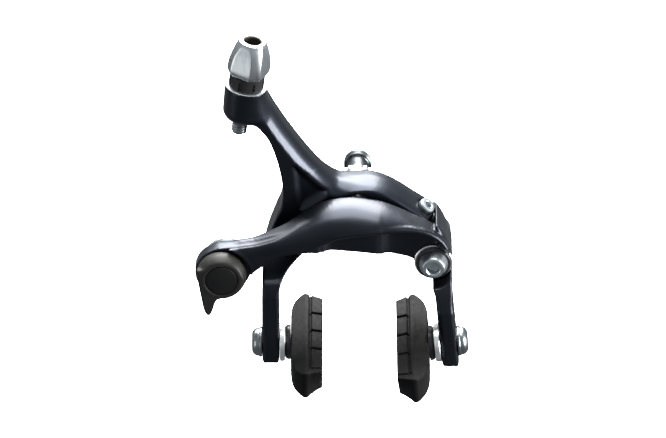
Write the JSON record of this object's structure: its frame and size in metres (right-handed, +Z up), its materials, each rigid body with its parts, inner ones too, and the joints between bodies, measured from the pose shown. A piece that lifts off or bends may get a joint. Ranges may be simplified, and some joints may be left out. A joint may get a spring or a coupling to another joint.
{
  "type": "bicycle rim brake caliper",
  "caption": "Dual-pivot side-pull rim brake caliper with two curved arms, cartridge-style shoes, a barrel adjuster and a cable quick-release lever.",
  "frame": {"origin": "mounting-bolt axis at the face of the serrated washer that meets the fork crown", "axes": "+Y along the mounting bolt away from the caliper (towards the fork), +Z up, +X towards the side-pivot arm"},
  "size_m": [0.0981, 0.0742, 0.1259],
  "materials": {
    "front_paint": "satin metallic anthracite",
    "rear_paint": "satin metallic dark blue",
    "zinc_steel": "bright zinc",
    "polished_alloy": "polished",
    "bridge_steel": "black oxide",
    "bearing_bronze": "sintered",
    "black_plastic": "fine grain",
    "lever_plastic": "semi-gloss",
    "cap_plastic": "fine grain",
    "slider_nylon": "low-friction",
    "shoe_rubber": "matt",
    "washer_black": "satin",
    "washer_steel": "tumbled"
  },
  "bodies": {
    "mount": {"mounting_bolt": "zinc_steel", "fork_washer": "zinc_steel", "pivot_bridge": "bridge_steel", "rear_thrust_washer": "washer_steel", "front_thrust_washer": "washer_steel", "centre_nut": "zinc_steel", "side_pivot_bolt": "zinc_steel", "side_washer": "washer_steel", "side_ring": "washer_black", "side_thrust_washer": "washer_steel", "return_spring": "zinc_steel"},
    "sleeve_nut_body": {"sleeve_nut": "zinc_steel"},
    "rear_arm_body": {"rear_arm": "rear_paint", "centre_bushing": "bearing_bronze", "spring_pad": "black_plastic", "adjuster_collar": "black_plastic"},
    "knob_body": {"adjuster_knob": "polished_alloy"},
    "stud_body": {"adjuster_stud": "zinc_steel"},
    "screw_body": {"centring_screw": "zinc_steel"},
    "front_arm_body": {"front_arm": "front_paint", "side_bushing": "bearing_bronze", "slider_pad": "slider_nylon"},
    "lever_body": {"quick_release_lever": "lever_plastic", "lever_cap": "cap_plastic", "cam_bush": "zinc_steel"},
    "cable_clamp_body": {"cable_bolt": "zinc_steel", "cable_washer": "zinc_steel", "cable_plate": "washer_steel", "cable_nut": "zinc_steel"},
    "left_shoe_body": {"left_shoe": "shoe_rubber", "left_shoe_plate": "washer_steel", "left_shoe_stud": "zinc_steel", "left_dome_washer": "washer_black", "left_cup_washer": "washer_steel", "left_shoe_nut": "zinc_steel"},
    "right_shoe_body": {"right_shoe": "shoe_rubber", "right_shoe_plate": "washer_steel", "right_shoe_stud": "zinc_steel", "right_dome_washer": "washer_black", "right_cup_washer": "washer_steel", "right_shoe_nut": "zinc_steel"}
  },
  "joints": [
    {"name": "front_arm_pivot", "type": "hinge", "parent": "mount", "child": "front_arm_body", "pos_m": [0.027, -0.015, -0.018], "axis": [0, 1, 0], "range_deg": [0, 10], "stiffness_Nm_per_rad": 0.5, "springref_deg": -20.05},
    {"name": "rear_arm_pivot", "type": "hinge", "parent": "mount", "child": "rear_arm_body", "pos_m": [0, -0.01, 0], "axis": [0, 1, 0], "range_deg": [-6.33, 0], "deforming": ["return_spring"]},
    {"name": "quick_release_turn", "type": "hinge", "parent": "front_arm_body", "child": "lever_body", "pos_m": [-0.0487, -0.033, -0.0186], "axis": [0, 1, 0], "range_deg": [0, 90]},
    {"name": "cable_clamp_swivel", "type": "hinge", "parent": "lever_body", "child": "cable_clamp_body", "pos_m": [-0.0467, -0.02, -0.0186], "axis": [0, 1, 0], "range_deg": [-90, 0]},
    {"name": "adjuster_turn", "type": "hinge", "parent": "rear_arm_body", "child": "knob_body", "pos_m": [-0.03975, -0.016, 0.0503], "axis": [0.1392, 0, 0.9903], "range_deg": [-1800, 0]},
    {"name": "adjuster_lift", "type": "slide", "parent": "rear_arm_body", "child": "stud_body", "axis": [0.1392, 0, 0.9903], "range_m": [0, 0.005]},
    {"name": "centring_turn", "type": "hinge", "parent": "rear_arm_body", "child": "screw_body", "pos_m": [0.0243, -0.0124, -0.0024], "axis": [0.5918, -0.2756, 0.7575], "range_deg": [-360, 360]},
    {"name": "left_shoe_height", "type": "slide", "parent": "rear_arm_body", "child": "left_shoe_body", "axis": [0, 0, 1], "range_m": [0, 0.01]},
    {"name": "right_shoe_height", "type": "slide", "parent": "front_arm_body", "child": "right_shoe_body", "axis": [-0.0958, 0, 0.9954], "range_m": [0, 0.01]},
    {"name": "sleeve_nut_off", "type": "slide", "parent": "mount", "child": "sleeve_nut_body", "axis": [0, 1, 0], "range_m": [0, 0.015]}
  ],
  "couplings": [
    {"joint": "rear_arm_pivot", "follows": "front_arm_pivot", "ratio": -0.633},
    {"joint": "cable_clamp_swivel", "follows": "quick_release_turn", "ratio": -1},
    {"joint": "adjuster_lift", "follows": "adjuster_turn", "m_per_rad": -0.00015915}
  ]
}
